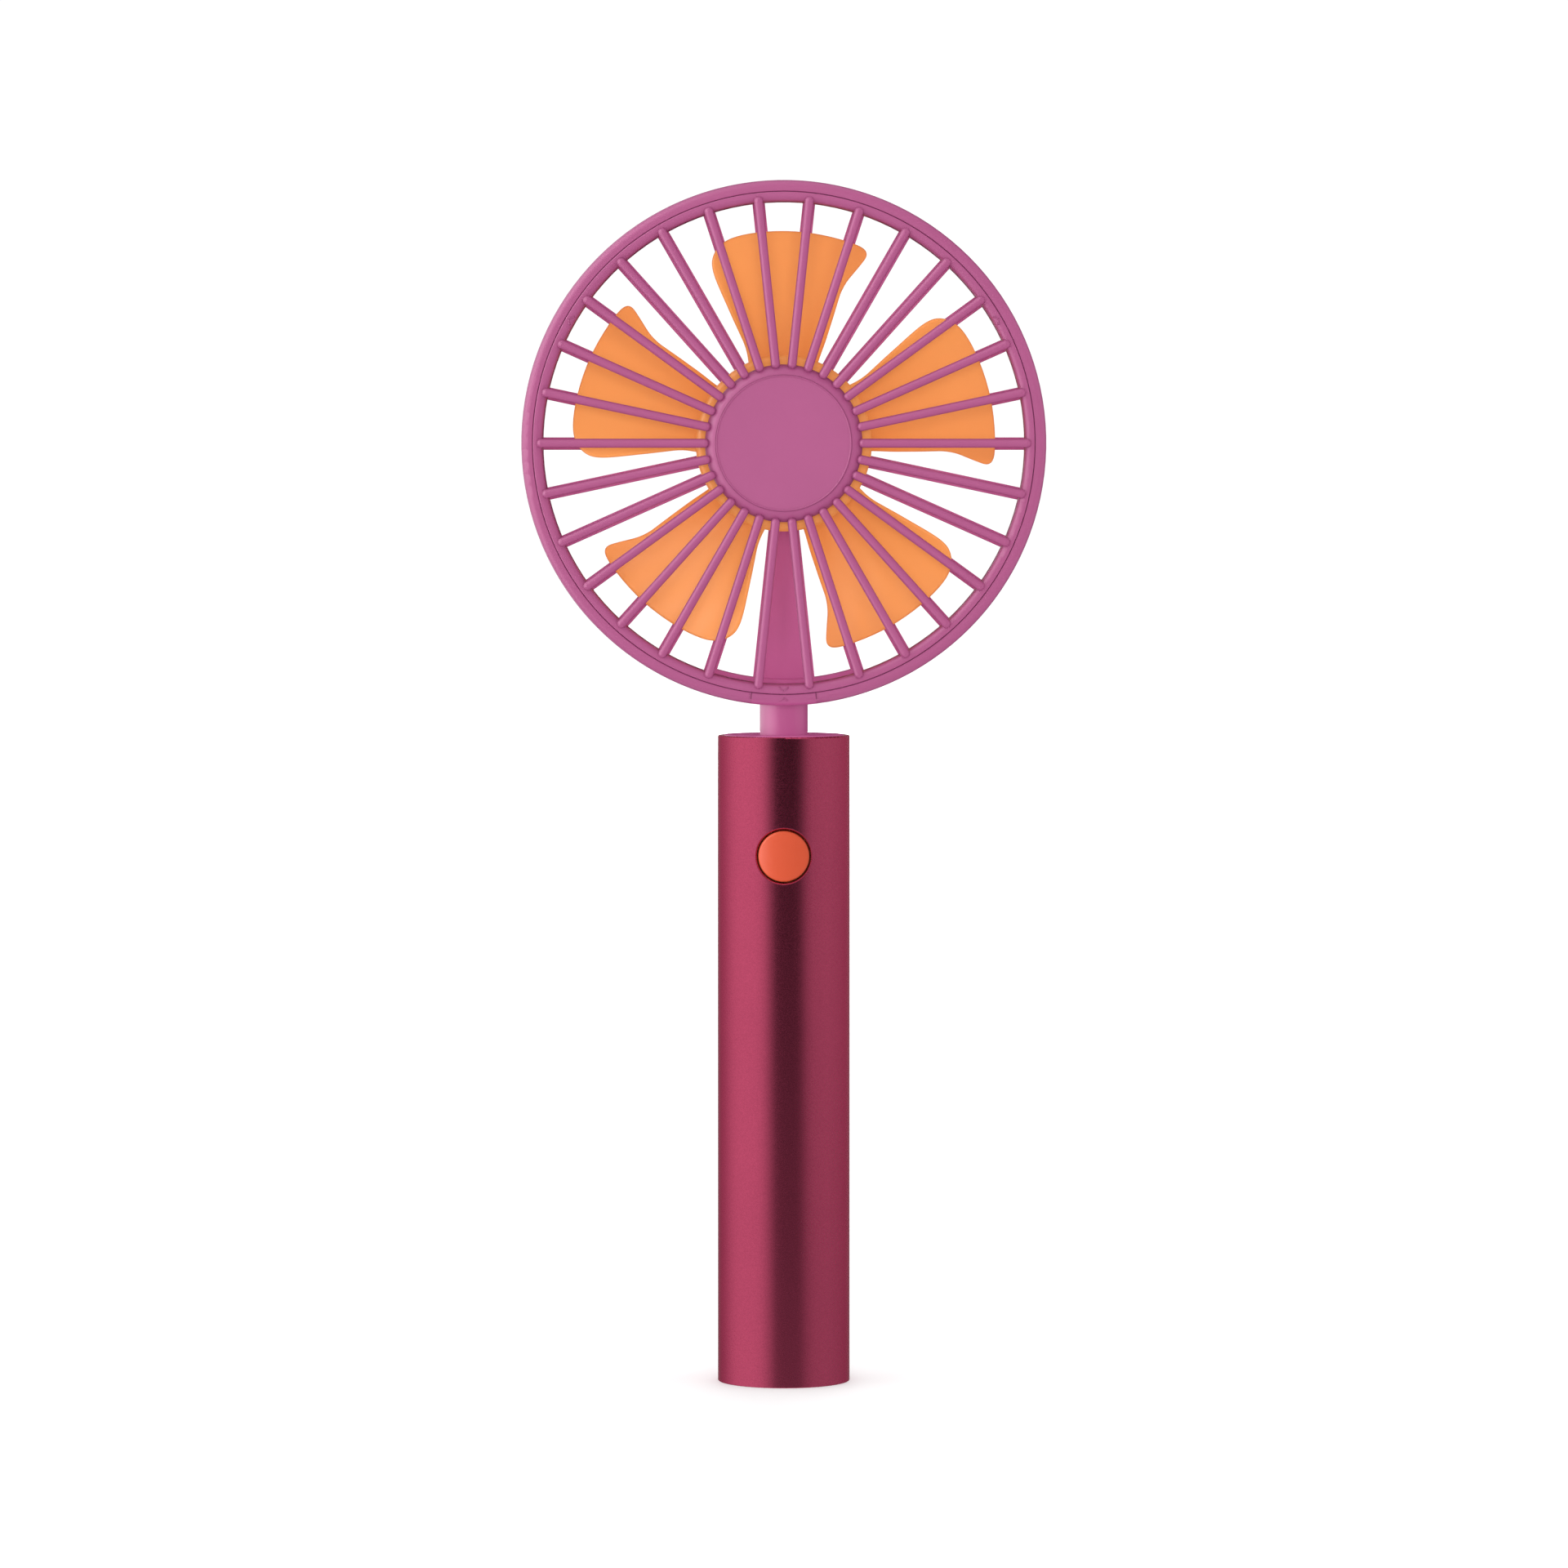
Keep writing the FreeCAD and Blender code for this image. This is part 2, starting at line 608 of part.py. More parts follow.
# blade outline in polar form: share of the tip radius, angle in degrees (top blade)
OUTLINE = [
    (0.396, 66.7), (0.432, 67.2), (0.494, 67.55), (0.555, 67.95), (0.617, 68.4), (0.679, 68.8),
    (0.725, 69.1), (0.756, 69.2), (0.787, 69.05), (0.826, 68.55), (0.864, 67.75), (0.903, 66.95),
    (0.932, 66.45), (0.956, 66.15), (0.974, 66.25), (0.988, 66.85), (0.9965, 68.0), (1.0, 70.0),
    (1.0, 75.0), (1.0, 82.0), (0.9995, 90.0), (0.999, 97.0), (0.997, 102.0), (0.989, 105.6),
    (0.972, 108.2), (0.945, 110.3), (0.915, 111.6), (0.880, 112.3), (0.840, 112.6), (0.780, 112.65),
    (0.700, 112.5), (0.617, 112.3), (0.555, 112.0), (0.500, 111.8), (0.455, 112.3), (0.425, 113.2),
    (0.396, 114.2),
]
blade = new_body("impeller_blade")
sections = []
for tag, y in (("root", 12.0), ("end", 41.0)):
    w = y * tan_of(S["blade_wedge"])
    rise = S["blade_rise"]
    half = S["blade_skin"] / 2
    sag = 0.7
    q = (w * w + rise * rise + sag * sag) / (2 * sag)
    # the face is hollow towards the front; both skins share the arc's centre side
    span = math.hypot(w.v, rise.v)
    nx, nz = rise.v / span, w.v / span
    reach = q.v - sag
    cx, cz = nx * reach, nz * reach
    sk = new_sketch(blade, "blade_%s_section" % tag, "XZ_Plane", lift=-y)
    outline(sk, [
        (-w, rise - half, q, cx, cz - half.v),
        (w, -rise - half),
        (w, -rise + half, q, cx, cz + half.v),
        (-w, rise + half),
    ])
    sections.append(sk)
loft = blade.newObject("PartDesign::AdditiveLoft", "blade_sheet")
loft.Profile = sections[0]
loft.Sections = [sections[1]]
loft.Ruled = False
sk = new_sketch(blade, "blade_trim_outline", "XY_Plane", lift=-20.0)
points = [
    V(S["tip_r"].v * q * math.cos(math.radians(a)), S["tip_r"].v * q * math.sin(math.radians(a)), 0)
    for q, a in OUTLINE
]
curve = Part.BSplineCurve()
curve.interpolate(points)
g0 = sk.addGeometry(curve, False)
g1 = sk.addGeometry(Part.LineSegment(points[-1], points[0]), False)
for p, q in ((V(-60, -5, 0), V(60, -5, 0)), (V(60, -5, 0), V(60, 60, 0)), (V(60, 60, 0), V(-60, 60, 0)), (V(-60, 60, 0), V(-60, -5, 0))):
    sk.addGeometry(Part.LineSegment(p, q), False)
trim = solid_pad(blade, "blade_trim", sk, 40.0, cut=True)
doc.recompute()


rims = ["Edge%d" % (i + 1) for i, e in enumerate(trim.Shape.Edges) if e.Length > 40]
rounding = blade.newObject("PartDesign::Fillet", "blade_edge")
rounding.Base = (trim, rims)
rounding.Radius = 0.35
# root follows the hub's wall
turned(blade, "blade_root", box_pts(0, -20.0, S["hub_in_r"] + 0.5, 20.0), cut=True)

copies = []
for k in range(5):
    link = doc.addObject("App::Link", "blade_copy_%d" % (k + 1))
    link.LinkedObject = blade
    link.LinkTransform = False
    link.Placement = FreeCAD.Placement(V(0, 0, 0), FreeCAD.Rotation(V(0, 0, 1), 72.0 * k))
    copies.append(link)
fused = doc.addObject("Part::MultiFuse", "impeller")
fused.Shapes = [hub] + copies
fused.Refine = False
keep(fused, head=True)

# ---------------------------------------------------------------- motor
b = new_body("rotor_yoke")
turned(b, "yoke_turn", box_pts(13.9, -6.0, S["hub_in_r"], 4.4))
keep(b, head=True)

b = new_body("ring_magnet")
turned(b, "magnet_turn", box_pts(12.5, -5.5, 13.9, 3.5))
keep(b, head=True)

b = new_body("motor_shaft")
turned(b, "shaft_turn", [
    (0, -12.1), (S["shaft_r"] - 0.15, -12.1), (S["shaft_r"], -11.95), (S["shaft_r"], -11.8), (0.8, -11.8),
    (0.8, -11.35), (S["shaft_r"], -11.35), (S["shaft_r"], 6.4), (0, 6.4),
])
keep(b, head=True)

b = new_body("shaft_clip")
turned(b, "clip_turn", box_pts(0.8, -11.8, 1.9, -11.35), angle=300, centre=90.0)
keep(b, head=True)

b = new_body("thrust_washer")
turned(b, "washer_turn", box_pts(S["shaft_r"], 2.1, 2.4, 2.6))
keep(b, head=True)

b = new_body("bearing_tube")
turned(b, "bearing_tube_turn", box_pts(S["tube_in_r"], -12.4, S["tube_out_r"], 2.2))
keep(b, head=True)

b = new_body("bearing_rear")
turned(b, "bearing_rear_turn", box_pts(S["bearing_in_r"], -11.2, S["tube_in_r"], -8.2))
keep(b, head=True)

b = new_body("bearing_front")
turned(b, "bearing_front_turn", box_pts(S["bearing_in_r"], -1.0, S["tube_in_r"], 2.0))
keep(b, head=True)

b = new_body("stator_core")
turned(b, "core_ring", box_pts(S["tube_out_r"], -3.5, 6.2, 2.0))
tooth = prism(b, "tooth", "XY_Plane", box_pts(5.9, -1.1, 11.4, 1.1), -3.5, 5.5)
shoe = turned(b, "shoe", box_pts(11.0, -3.5, 12.1, 2.0), angle=46, centre=0.0)
around(b, "teeth", [tooth, shoe], 6)
keep(b, head=True)

b = new_body("stator_coils", several=True)
winding = prism(b, "winding", "XY_Plane", box_pts(6.9, -2.3, 10.65, 2.3), -4.5, 7.5)
window = prism(b, "window", "YZ_Plane", box_pts(-1.12, -3.52, 1.12, 2.02), 6.0, 6.0, cut=True)
doc.recompute()
around(b, "windings", [winding, window], 6)
keep(b, head=True)

b = new_body("motor_board")
turned(b, "board_turn", box_pts(S["tube_out_r"], -8.6, 13.8, -7.6))
prism(b, "driver_chip", "XY_Plane", box_pts(6.2, -2.0, 10.2, 2.0), -7.7, 0.8)
prism(b, "hall_chip", "XY_Plane", box_pts(-10.8, -1.2, -8.2, 1.2), -7.7, 0.8)
keep(b, head=True)

b = new_body("motor_leads")
sk = new_sketch(b, "lead_section", "XY_Plane", lift=3.0)
outline(sk, box_pts(-0.7, -70.3, 0.7, -69.7))
path = new_sketch(b, "lead_path", "YZ_Plane")


def bent(sk, corners, radius):
    """Open path of straight runs with rounded corners."""
    import Sketcher

    segs, start = [], V(*corners[0], 0)
    for i in range(1, len(corners) - 1):
        p, c, q = V(*corners[i - 1], 0), V(*corners[i], 0), V(*corners[i + 1], 0)
        u, w = (p - c).normalize(), (q - c).normalize()
        a, z = c + u * radius, c + w * radius
        m = c + (u + w) * radius
        mid = m + (c - m).normalize() * radius
        segs.append(Part.LineSegment(start, a))
        segs.append(Part.Arc(a, mid, z))
        start = z
    segs.append(Part.LineSegment(start, V(*corners[-1], 0)))
    sk.addGeometry(segs, False)


bent(path, [(-70.0, 3.0), (-70.0, 0.0), (-47.05, 0.0), (-47.05, -10.4), (-13.0, -10.4), (-13.0, -8.6)], 0.6)
f = b.newObject("PartDesign::AdditivePipe", "lead_pipe")
f.Profile = sk
f.Spine = (path, [])
keep(b, head=True)

# ---------------------------------------------------------------- handle
b = new_body("handle_tube")
turned(b, "tube_turn", box_pts(S["handle_in_r"], 0, S["handle_r"], S["handle_top"]))
rod(b, "button_opening", "XZ_Plane", [(0, S["button_z"], S["button_hole_r"])], 2.0, 14.0, cut=True)
sk = new_sketch(b, "socket_opening_outline", "XZ_Plane", lift=-16.0)
slot_r, slot_x = 1.85, 2.85
outline(sk, [
    (slot_x, S["usb_z"] - slot_r, slot_r, slot_x, S["usb_z"]),
    (slot_x, S["usb_z"] + slot_r),
    (-slot_x, S["usb_z"] + slot_r, slot_r, -slot_x, S["usb_z"]),
    (-slot_x, S["usb_z"] - slot_r),
])
solid_pad(b, "socket_opening", sk, 10.0, cut=True)
edge_round(b, "tube_rims", "Fillet", 0.3, lambda e: ring_edge(12.14, 119.1)(e) or ring_edge(11.0, 119.1)(e))
edge_round(b, "tube_foot", "Fillet", 0.12, ring_edge(12.14, 0.0))


def opening_rim(e):
    bb = e.BoundBox
    return (
        abs((bb.ZMin + bb.ZMax) / 2 - S["button_z"].v) < 0.05
        and abs((bb.ZMax - bb.ZMin) / 2 - S["button_hole_r"].v) < 0.05
        and bb.YMin < -11.9
    )


edge_round(b, "opening_rim", "Chamfer", 0.25, opening_rim)
keep(b)

b = new_body("top_plug")
turned(b, "top_plug_turn", [
    (S["post_r"], 107.0), (6.6, 107.0), (6.6, 115.2), (9.8, 115.2), (9.8, 108.0), (S["handle_in_r"], 108.0),
    (S["handle_in_r"], S["handle_top"]), (S["handle_in_r"] - 0.12, S["handle_top"] + 0.12), (S["post_r"], S["handle_top"] + 0.12),
])
keep(b)

b = new_body("stem_clip")
turned(b, "stem_clip_turn", box_pts(3.9, S["post_low"] + 0.5, 6.2, S["post_low"] + 1.3), angle=290, centre=90.0)
keep(b)

b = new_body("bottom_cap")
turned(b, "bottom_cap_turn", [
    (0, 0), (S["handle_in_r"] - 0.3, 0), (S["handle_in_r"], 0.3), (S["handle_in_r"], 9.0), (9.8, 9.0), (9.8, 2.4), (0, 2.4),
])
keep(b)

b = new_body("battery_cell")
turned(b, "cell_turn", [
    (0, S["cell_low"]), (S["cell_r"] - 0.5, S["cell_low"]), (S["cell_r"], S["cell_low"] + 0.5),
    (S["cell_r"], S["cell_low"] + S["cell_len"] - 2.0), (S["cell_r"] - 0.6, S["cell_low"] + S["cell_len"] - 1.2),
    (3.3, S["cell_low"] + S["cell_len"] - 1.2), (3.0, S["cell_low"] + S["cell_len"]), (0, S["cell_low"] + S["cell_len"]),
])
keep(b)

CELL_TOP = S["cell_low"] + S["cell_len"]
b = new_body("contact_negative")
prism(b, "negative_strip", "YZ_Plane", [
    (4.0, S["cell_low"] - 0.3), (4.0, S["cell_low"]), (-9.45, S["cell_low"]), (-9.45, 85.2), (-S["board_front"], 85.2),
    (-S["board_front"], 85.5), (-9.75, 85.5), (-9.75, S["cell_low"] - 0.3),
], -1.5, 3.0)
keep(b)

b = new_body("contact_positive")
prism(b, "positive_strip", "YZ_Plane", [
    (3.0, CELL_TOP), (3.0, CELL_TOP + 0.3), (-2.7, CELL_TOP + 0.3), (-2.7, 86.5), (-3.0, 86.5), (-3.0, CELL_TOP),
], -1.5, 3.0)
keep(b)

b = new_body("inner_carrier")
turned(b, "carrier_shell", box_pts(9.5, 14.6, 10.9, 104.5), angle=170, centre=90.0)
prism(b, "carrier_floor", "XY_Plane", [
    (-10.0, 0.5), (10.0, 0.5), (7.6, 7.0), (-7.6, 7.0),
], 14.6, S["cell_low"] - 0.3 - 14.6)
prism(b, "carrier_shelf", "XY_Plane", [
    (-9.9, -2.6), (9.9, -2.6), (9.9, 3.0), (6.5, 7.6), (-6.5, 7.6), (-9.9, 3.0),
], CELL_TOP + 0.3, 1.4)
prism(b, "carrier_rail_left", "XY_Plane", box_pts(-8.6, -3.0, -6.2, 5.0), CELL_TOP + 0.3, 22.7)
prism(b, "carrier_rail_right", "XY_Plane", box_pts(6.2, -3.0, 8.6, 5.0), CELL_TOP + 0.3, 22.7)
rod(b, "rail_holes", "XZ_Plane", [(-7.3, 101.5, 0.7), (7.3, 101.5, 0.7)], -2.0, 6.0, cut=True)
keep(b)

b = new_body("control_board")
prism(b, "board_plate", "XY_Plane", box_pts(-8.6, -S["board_front"], 8.6, -S["board_front"] + S["board_skin"]), 84.4, 20.2)
rod(b, "board_holes", "XZ_Plane", [(-7.3, 101.5, 0.8), (7.3, 101.5, 0.8)], 2.0, 4.0, cut=True)
keep(b)

b = new_body("control_chips", several=True)
prism(b, "chip_main", "XZ_Plane", box_pts(-2.5, 90.0, 2.5, 95.0), 2.1, 0.9)
prism(b, "chip_charge", "XZ_Plane", box_pts(-4.6, 97.0, -1.6, 100.0), 2.1, 0.9)
prism(b, "chip_coil", "XZ_Plane", box_pts(1.6, 97.0, 5.2, 100.6), 1.2, 1.8)
keep(b)

b = new_body("board_screws", several=True)
rod(b, "board_shanks", "XZ_Plane", [(-7.3, 101.5, 0.7), (7.3, 101.5, 0.7)], -1.0, 5.6)
rod(b, "board_heads", "XZ_Plane", [(-7.3, 101.5, 1.3), (7.3, 101.5, 1.3)], S["board_front"], 0.9)
for k, x in enumerate((-7.3, 7.3)):
    prism(b, "board_socket_%d" % k, "XZ_Plane", [(x + p, 101.5 + q) for p, q in HEXAGON], 4.65, 1.0, cut=True)
keep(b)

b = new_body("switch_body")
prism(b, "switch_block", "XZ_Plane", box_pts(-3.1, S["button_z"] - 3.1, 3.1, S["button_z"] + 3.1), S["board_front"], 3.4)
rod(b, "switch_well", "XZ_Plane", [(0, S["button_z"], 1.65)], 5.3, 4.0, cut=True)
keep(b)

b = new_body("switch_plunger")
rod(b, "plunger_rod", "XZ_Plane", [(0, S["button_z"], 1.6)], 6.1, 2.3)
keep(b)

b = new_body("button_cap")
rod(b, "button_post", "XZ_Plane", [(0, S["button_z"], S["button_r"])], 8.4, 6.0)
rod(b, "button_flange", "XZ_Plane", [(0, S["button_z"], 5.9)], 8.4, 0.75)
sk = new_sketch(b, "button_face_outline", "XY_Plane", lift=80.0)
circles(sk, [(0, 0, S["handle_r"] - 0.02), (0, 0, 20.0)])
solid_pad(b, "button_face", sk, 40.0, cut=True)


def face_rim(e):
    bb = e.BoundBox
    return bb.YMin < -11.9 and (bb.ZMax - bb.ZMin) > 5


edge_round(b, "button_rim", "Fillet", 0.4, face_rim)
keep(b)

b = new_body("charge_board")
rod(b, "charge_disc", "XY_Plane", [(0, 0, 10.6)], 9.0, 1.2)
keep(b)

b = new_body("usb_shell")
sh_r, sh_x = 1.63, 2.84
sk = new_sketch(b, "shell_outline", "XZ_Plane", lift=-9.9)
outline(sk, [
    (sh_x, S["usb_z"] - sh_r, sh_r, sh_x, S["usb_z"]),
    (sh_x, S["usb_z"] + sh_r),
    (-sh_x, S["usb_z"] + sh_r, sh_r, -sh_x, S["usb_z"]),
    (-sh_x, S["usb_z"] - sh_r),
])
solid_pad(b, "shell_bar", sk, 6.9)
in_r = 1.33
sk = new_sketch(b, "shell_bore_outline", "XZ_Plane", lift=-12.0)
outline(sk, [
    (sh_x, S["usb_z"] - in_r, in_r, sh_x, S["usb_z"]),
    (sh_x, S["usb_z"] + in_r),
    (-sh_x, S["usb_z"] + in_r, in_r, -sh_x, S["usb_z"]),
    (-sh_x, S["usb_z"] - in_r),
])
solid_pad(b, "shell_bore", sk, 12.0, cut=True)
keep(b)

b = new_body("usb_tongue")
sk = new_sketch(b, "tongue_back_outline", "XZ_Plane", lift=-4.4)
outline(sk, [
    (sh_x, S["usb_z"] - in_r, in_r, sh_x, S["usb_z"]),
    (sh_x, S["usb_z"] + in_r),
    (-sh_x, S["usb_z"] + in_r, in_r, -sh_x, S["usb_z"]),
    (-sh_x, S["usb_z"] - in_r),
])
solid_pad(b, "tongue_back", sk, 1.4)
prism(b, "tongue_blade", "XZ_Plane", box_pts(-3.35, S["usb_z"] - 0.35, 3.35, S["usb_z"] + 0.35), -9.2, 5.0)
keep(b)

b = new_body("charge_leads", several=True)
for tag, x in (("left", -6.8), ("right", 6.8)):
    sk = new_sketch(b, "charge_%s_section" % tag, "XY_Plane", lift=10.2)
    circles(sk, [(x, -7.4, 0.4)])
    path = new_sketch(b, "charge_%s_path" % tag, "YZ_Plane", lift=x)
    bent(path, [(-7.4, 10.2), (-7.4, 88.0), (-4.2, 88.0)], 1.0)
    f = b.newObject("PartDesign::AdditivePipe", "charge_%s_pipe" % tag)
    f.Profile = sk
    f.Spine = (path, [])
keep(b)

# ---------------------------------------------------------------- checks and files
doc.recompute()
trouble = []
for o in doc.Objects:
    if "Invalid" in o.State or "Error" in o.State:
        trouble.append("%s %s" % (o.Name, o.State))
for o in PARTS:
    s = o.Shape
    if s.isNull() or not s.isValid() or not s.Solids:
        trouble.append("%s has no valid solid" % o.Label)
    else:
        bb = s.BoundBox
        print("%-18s solids %d volume %9.2f  x %7.2f %7.2f  y %7.2f %7.2f  z %7.2f %7.2f" % (
            o.Label, len(s.Solids), s.Volume, bb.XMin, bb.XMax, bb.YMin, bb.YMax, bb.ZMin, bb.ZMax))
if trouble:
    raise SystemExit("\n".join(trouble))
os.makedirs("parts", exist_ok=True)
for o in PARTS:
    o.Shape.exportStep("parts/%s.step" % o.Label)
print("wrote", len(PARTS), "pieces")
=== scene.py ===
import math

import bpy
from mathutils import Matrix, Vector

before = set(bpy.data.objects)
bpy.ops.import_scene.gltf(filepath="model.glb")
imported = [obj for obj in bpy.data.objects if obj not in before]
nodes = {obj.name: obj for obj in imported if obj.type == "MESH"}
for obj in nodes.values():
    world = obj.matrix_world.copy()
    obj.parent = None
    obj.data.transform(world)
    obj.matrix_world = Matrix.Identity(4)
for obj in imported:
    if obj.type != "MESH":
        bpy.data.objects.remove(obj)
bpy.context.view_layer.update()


# ------------------------------------------------------------------ helpers for materials
def new_material(name):
    m = bpy.data.materials.new(name)
    m.use_nodes = True
    t = m.node_tree
    t.nodes.clear()
    out = t.nodes.new("ShaderNodeOutputMaterial")
    p = t.nodes.new("ShaderNodeBsdfPrincipled")
    t.links.new(p.outputs["BSDF"], out.inputs["Surface"])
    coord = t.nodes.new("ShaderNodeTexCoord")
    return m, t, p, coord


def noise(t, coord, scale, detail=3.0, rough=0.55, stretch=None):
    n = t.nodes.new("ShaderNodeTexNoise")
    n.inputs["Scale"].default_value = scale
    n.inputs["Detail"].default_value = detail
    n.inputs["Roughness"].default_value = rough
    if stretch:
        mp = t.nodes.new("ShaderNodeMapping")
        mp.inputs["Scale"].default_value = stretch
        t.links.new(coord.outputs["Object"], mp.inputs["Vector"])
        t.links.new(mp.outputs["Vector"], n.inputs["Vector"])
    else:
        t.links.new(coord.outputs["Object"], n.inputs["Vector"])
    return n


def spread(t, source, low, high, from_low=0.3, from_high=0.7):
    r = t.nodes.new("ShaderNodeMapRange")
    r.inputs["From Min"].default_value = from_low
    r.inputs["From Max"].default_value = from_high
    r.inputs["To Min"].default_value = low
    r.inputs["To Max"].default_value = high
    t.links.new(source, r.inputs["Value"])
    return r.outputs["Result"]


def shade(t, source, dark, light):
    """Colour between two tones of one colour, driven by a 0..1 value."""
    mix = t.nodes.new("ShaderNodeMix")
    mix.data_type = "RGBA"
    mix.inputs["A"].default_value = (*dark, 1)
    mix.inputs["B"].default_value = (*light, 1)
    t.links.new(source, mix.inputs["Factor"])
    return mix.outputs["Result"]


def grain(t, coord, layers, bevel=0.0):
    """Chain of bumps (scale, strength, depth in metres), on top of a rounded edge normal."""
    normal = None
    if bevel:
        b = t.nodes.new("ShaderNodeBevel")
        b.samples = 6
        b.inputs["Radius"].default_value = bevel
        normal = b.outputs["Normal"]
    for scale, strength, depth in layers:
        n = noise(t, coord, scale, 2.0)
        k = t.nodes.new("ShaderNodeBump")
        k.inputs["Strength"].default_value = strength
        k.inputs["Distance"].default_value = depth
        t.links.new(n.outputs["Fac"], k.inputs["Height"])
        if normal:
            t.links.new(normal, k.inputs["Normal"])
        normal = k.outputs["Normal"]
    return normal


def tone(c, k):
    return tuple(max(0.0, min(1.0, v * k)) for v in c)


def moulded(name, colour, rough=0.45, vary=0.03, layers=((5200, 0.10, 0.00003),), bevel=0.00012, specular=0.5, glow=0.0, tint=None, patch=0.05):
    """Moulded plastic: slight flow mottling, fine spark-eroded grain, softened edges."""
    m, t, p, c = new_material(name)
    big = noise(t, c, 70, 4.0)
    fine = noise(t, c, 1400, 3.0)
    f = spread(t, big.outputs["Fac"], 0.0, 1.0)
    t.links.new(shade(t, f, tone(colour, 1 - vary), tone(tint or colour, 1 + vary)), p.inputs["Base Color"])
    t.links.new(spread(t, fine.outputs["Fac"], rough - patch, rough + patch), p.inputs["Roughness"])
    p.inputs["Specular IOR Level"].default_value = specular
    if glow:
        p.inputs["Subsurface Weight"].default_value = glow
        p.inputs["Subsurface Radius"].default_value = (1.0, 0.5, 0.25)
        p.inputs["Subsurface Scale"].default_value = 0.0015
    t.links.new(grain(t, c, layers, bevel), p.inputs["Normal"])
    return m


def thin(m, colour, share):
    """Lets part of the light through a thin moulded wall."""
    t = m.node_tree
    p = next(n for n in t.nodes if n.type == "BSDF_PRINCIPLED")
    out = next(n for n in t.nodes if n.type == "OUTPUT_MATERIAL")
    tr = t.nodes.new("ShaderNodeBsdfTranslucent")
    tr.inputs["Color"].default_value = (*colour, 1)
    mix = t.nodes.new("ShaderNodeMixShader")
    mix.inputs["Fac"].default_value = share
    t.links.new(p.outputs["BSDF"], mix.inputs[1])
    t.links.new(tr.outputs["BSDF"], mix.inputs[2])
    t.links.new(mix.outputs["Shader"], out.inputs["Surface"])
    return m


def metal(name, colour, rough=0.3, vary=0.06, layers=((4000, 0.12, 0.00002),), stretch=None, bevel=0.0001):
    m, t, p, c = new_material(name)
    big = noise(t, c, 130, 4.0, stretch=stretch)
    fine = noise(t, c, 2600, 3.0, stretch=stretch)
    f = spread(t, big.outputs["Fac"], 0.0, 1.0)
    t.links.new(shade(t, f, tone(colour, 1 - vary), tone(colour, 1 + vary)), p.inputs["Base Color"])
    p.inputs["Metallic"].default_value = 1.0
    t.links.new(spread(t, fine.outputs["Fac"], rough - 0.06, rough + 0.08), p.inputs["Roughness"])
    t.links.new(grain(t, c, layers, bevel), p.inputs["Normal"])
    return m


# ------------------------------------------------------------------ finishes
PINK = (0.288, 0.053, 0.155)
PINK_SKIN = dict(rough=0.46, vary=0.02, layers=((900, 0.02, 0.00002),), patch=0.015)
pink = moulded("pink_plastic", PINK, **PINK_SKIN)
pink_glow_wall = moulded("pink_wall_plastic", PINK, **PINK_SKIN)
# painted glow: emission in the pink itself brightens the walls and ribs at the back, which lie in shade behind the
# grille
p_wall_glow = next(n for n in pink_glow_wall.node_tree.nodes if n.type == "BSDF_PRINCIPLED")
p_wall_glow.inputs["Emission Color"].default_value = (*PINK, 1)
p_wall_glow.inputs["Emission Strength"].default_value = 0.46


def painted_glow(m, high, low, strength):
    """Painted glow: emission in the plastic's own pink that brightens parts lying in shade, fading in from one height
    to a lower one.
    """
    t = m.node_tree
    p = next(n for n in t.nodes if n.type == "BSDF_PRINCIPLED")
    c = next(n for n in t.nodes if n.type == "TEX_COORD")
    se = t.nodes.new("ShaderNodeSeparateXYZ")
    t.links.new(c.outputs["Object"], se.inputs["Vector"])
    p.inputs["Emission Color"].default_value = (*PINK, 1)
    t.links.new(spread(t, se.outputs["Z"], strength, 0.0, low, high), p.inputs["Emission Strength"])
    return m


# painted glow on the neck below the head and on the top plug, brightening them where the head and handle shade them
pink_neck = painted_glow(moulded("pink_neck_plastic", PINK, **dict(PINK_SKIN, rough=0.40)), 0.1262, 0.1245, 0.44)
pink_plug = painted_glow(moulded("pink_plug_plastic", PINK, **PINK_SKIN), 0.30, 0.20, 0.62)
pink_disc = moulded("pink_disc", tone(PINK, 1.0), rough=0.52, vary=0.025, layers=((3600, 0.16, 0.00003), (7600, 0.12, 0.00002)))
orange = moulded("orange_plastic", (0.715, 0.282, 0.076), rough=0.34, vary=0.015,
                 layers=((3000, 0.03, 0.00002),), bevel=0.0001, tint=(0.725, 0.290, 0.080))
# painted glow: emission in the blades' own orange lifts them where the grille, spokes and hub shade them
p_orange = next(n for n in orange.node_tree.nodes if n.type == "BSDF_PRINCIPLED")
p_orange.inputs["Emission Color"].default_value = (0.80, 0.34, 0.095, 1)
p_orange.inputs["Emission Strength"].default_value = 0.315
thin(orange, (0.85, 0.33, 0.08), 0.22)
button_red = moulded("button_plastic", (0.47, 0.061, 0.022), rough=0.36, vary=0.02, layers=((4200, 0.10, 0.00003),), bevel=0.00015, specular=0.22)


